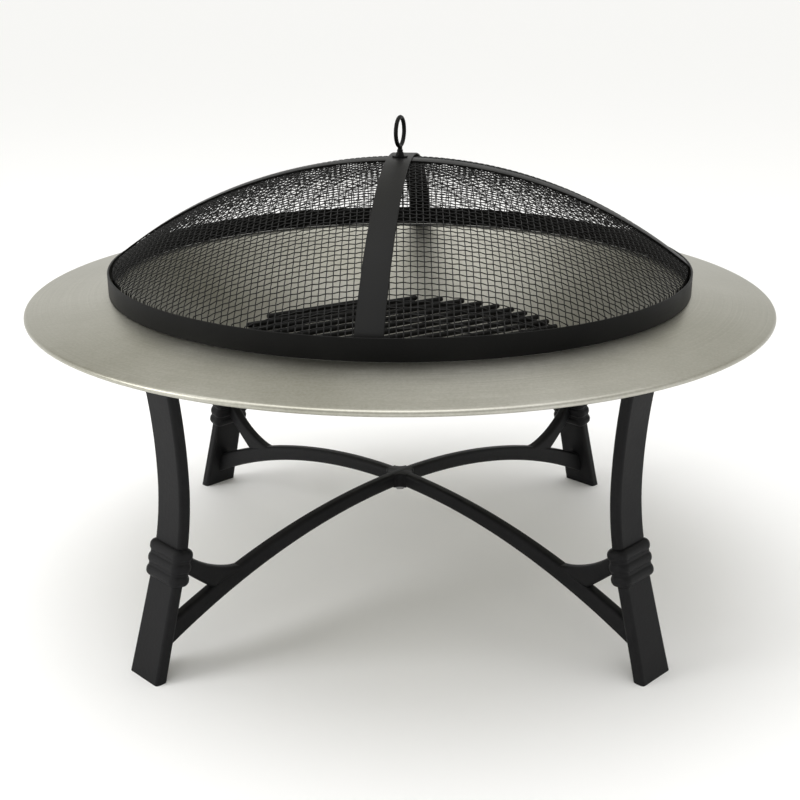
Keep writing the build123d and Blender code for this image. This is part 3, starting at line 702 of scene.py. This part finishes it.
def strap_piece(name, node, turn, crown_lift):
    """A flat strap bent over the dome: tab, bend and arc in its own plane, then a thin
    rounded rectangle carried along that line."""
    inner_reach = MESH_REACH + MESH_SHEET + SHEET_GAP
    base = DOME_RADIUS + MESH_SHEET + SHEET_GAP
    spring = DOME_CENTRE + math.sqrt(base ** 2 - inner_reach ** 2)
    crown = DOME_CENTRE + base + crown_lift
    radius = cap_radius(inner_reach, crown - spring) + STRAP_SHEET / 2
    centre = crown - radius + STRAP_SHEET / 2
    reach = inner_reach + STRAP_SHEET / 2
    edge_angle = math.degrees(math.acos(reach / radius))
    arc_line = arc_points((0, centre), radius, 180 - edge_angle, edge_angle, 161)
    tab_low = float(BAND_LOW[2]) + TAB_LIFT
    tab = np.linspace(tab_low, arc_line[0, 1] - TAB_GAP, 7)
    left = np.stack([np.full(7, -reach), tab], 1)
    right = np.stack([np.full(7, reach), tab[::-1]], 1)
    line = np.concatenate([left, arc_line[1:-1], right])
    along = np.array([math.cos(turn), math.sin(turn), 0])
    side = np.array([-math.sin(turn), math.cos(turn), 0])
    path = line[:, :1] * along + line[:, 1:] * np.array([0, 0, 1])
    tangent = unit(np.gradient(path, axis=0))
    up = np.cross(tangent, side)
    soft = SOFT_EDGE
    wide, thick = STRAP_WIDTH / 2 - soft, STRAP_SHEET / 2 - soft
    corners = [((wide, thick), 90, 0), ((wide, -thick), 0, -90),
               ((-wide, -thick), -90, -180), ((-wide, thick), 180, 90)]
    section = np.concatenate([arc_points(c, soft, start, end, 4) for c, start, end in corners])
    rows = path[:, None] + section[None, :, :1] * side + section[None, :, 1:] * up[:, None]
    piece = add_object(name, loft_mesh(rows), "screen", SCREEN_PAINT)
    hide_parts(node)


def make_eye():
    """A round wire loop closed on a flared neck that sits on the crown."""
    low, high = corner("lifting_eye")
    along = np.array([math.cos(EYE_TURN), math.sin(EYE_TURN), 0])
    middle = float(high[2]) - EYE_REACH - EYE_WIRE
    angle = np.arange(96) * TURN / 96
    path = EYE_REACH * np.cos(angle)[:, None] * along
    path[:, 2] = middle + EYE_REACH * np.sin(angle)
    side = np.array([-along[1], along[0], 0])
    loop = loft_mesh(tube_rows(path, EYE_WIRE, 16, side, closed=True), closed=True)
    washer_top = float(corner("eye_washer_outer")[1][2]) + SHEET_GAP
    neck_top = middle - EYE_REACH + 0.5 * EYE_WIRE
    share = np.linspace(0, 1, 26)
    flare = (1 - share) ** 1.6
    groove = 0.28 * MM * np.cos(share * 4 * TURN) * np.sin(share * math.pi)
    reach = 1.9 * MM + 2.7 * MM * flare + groove
    height = washer_top + share * (neck_top - washer_top)
    neck = loft_mesh(turned_rows(np.stack([reach, height], 1), 32))
    shank_height = np.linspace(float(low[2]), washer_top + 0.4 * MM, 60)
    thread = 2.5 * MM - 0.18 * MM * (0.5 + 0.5 * np.cos(shank_height / THREAD_PITCH * TURN))
    shank = loft_mesh(turned_rows(np.stack([thread, shank_height], 1), 24))
    piece = add_object("wire_eye", joined([loop, neck, shank]), "screen", SCREEN_PAINT)
    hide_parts("lifting_eye")


# ------------------------------------------------------------ finishes on the frame's own nodes

def finish_nodes():
    """Gives each node that is shown as it is its own finish."""
    finishes = {"stand_paint": STAND_PAINT, "hardware": ZINC, "screen_paint": SCREEN_PAINT,
                "bowl_steel": STEEL, "grate_iron": GRATE_PAINT, "mesh_wire": WIRE_PAINT}
    slots = {entry["node"]: entry["material_slot"] for entry in frame["record"]["subparts"]}
    for name, node in frame["nodes"].items():
        node.data.materials.clear()
        node.data.materials.append(finishes[slots[name]])


# ------------------------------------------------------------ floor, light and camera

FLOOR_REACH = 60.0


def make_stage():
    """A pale floor that is lost in a white surround."""
    size = FLOOR_REACH
    mesh = bpy.data.meshes.new("floor")
    corners = [(-size, -size, 0), (size, -size, 0), (size, size, 0), (-size, size, 0)]
    mesh.from_pydata(corners, [], [(0, 1, 2, 3)])
    material, tree, shader = new_material("floor")
    shader.inputs["Base Color"].default_value = (0.95, 0.95, 0.95, 1)
    shader.inputs["Roughness"].default_value = 0.9
    mesh.materials.append(material)
    floor = bpy.data.objects.new("floor", mesh)
    bpy.context.scene.collection.objects.link(floor)


def area_light(name, place, aim, size, power, colour=(1, 1, 1)):
    data = bpy.data.lights.new(name, "AREA")
    data.shape = "RECTANGLE"
    data.size, data.size_y = size
    data.energy = power
    data.color = colour
    light = bpy.data.objects.new(name, data)
    light.location = place
    direction = np.array(aim, float) - np.array(place, float)
    light.rotation_euler = aim_angles(direction)
    bpy.context.scene.collection.objects.link(light)


def aim_angles(direction):
    """Euler angles that point an object's -Z along a direction, with its top up."""
    pitch = math.atan2(math.hypot(direction[0], direction[1]), -direction[2])
    return pitch, 0.0, math.atan2(-direction[0], direction[1])


def make_light():
    """A white room whose walls are brightest near the floor, warm grey above, with a bright
    ceiling: the brightness of the surround depends only on the height looked at."""
    world = bpy.data.worlds.new("soft_room")
    world.use_nodes = True
    tree = world.node_tree
    sky = tree.nodes["Background"]
    place = add_node(tree, "ShaderNodeTexCoord")
    split = add_node(tree, "ShaderNodeSeparateXYZ")
    ramp = add_node(tree, "ShaderNodeValToRGB")
    tree.links.new(place.outputs["Generated"], split.inputs[0])
    tree.links.new(split.outputs["Z"], ramp.inputs["Fac"])
    tree.links.new(ramp.outputs["Color"], sky.inputs["Color"])
    steps = [(0.0, (1.0, 1.0, 1.0)), (0.31, (0.90, 0.90, 0.88)), (0.46, (0.50, 0.49, 0.43)),
             (0.66, (0.54, 0.53, 0.49)), (0.86, (1.5, 1.5, 1.5))]
    marks = ramp.color_ramp.elements
    while len(marks) < len(steps):
        marks.new(0.5)
    for mark, (place_on_ramp, colour) in zip(marks, steps):
        mark.position = place_on_ramp
        mark.color = (*colour, 1)
    sky.inputs["Strength"].default_value = 1.0
    bpy.context.scene.world = world
    area_light("top_softbox", (-0.3, 0.1, 2.8), (0, 0, 0.3), (2.4, 2.0), 18)
    area_light("left_softbox", (-2.2, -0.8, 1.4), (0, 0, 0.3), (1.0, 1.4), 22)
    bpy.context.scene.view_settings.view_transform = "Standard"


CAMERA_PLACE = (0.0, -1.268, 0.634)
CAMERA_DROP = 19.6
CAMERA_LENS = 55.8
CAMERA_SHIFT = 0.01375


def make_camera():
    """A pace and a half from the front, looking down by CAMERA_DROP degrees."""
    data = bpy.data.cameras.new("camera")
    data.sensor_width = 36.0
    data.lens = CAMERA_LENS
    data.shift_y = CAMERA_SHIFT
    data.clip_start = 0.01
    camera = bpy.data.objects.new("camera", data)
    camera.location = CAMERA_PLACE
    camera.rotation_euler = (math.radians(90 - CAMERA_DROP), 0, 0)
    bpy.context.scene.collection.objects.link(camera)
    bpy.context.scene.camera = camera


def main():
    make_camera()
    make_light()
    make_stage()
    finish_nodes()
    make_bowl()
    make_arch("arch_over", "upper_arch", math.radians(45), 0.0)
    make_arch("arch_under", "lower_arch", math.radians(135), LAP_DIP)
    make_grate()
    make_band()
    for lengthwise, label in ((True, "across"), (False, "along")):
        for keep in (0, 1):
            make_wires("mesh_wires_%s_%d" % (label, keep + 1), lengthwise, keep)
    strap_piece("strap_across", "strap_left_to_right", SCREEN_TURN, 0.0)
    strap_piece("strap_fore_and_aft", "strap_front_to_back", SCREEN_TURN + TURN / 4,
                STRAP_SHEET + SHEET_GAP)
    make_eye()


main()
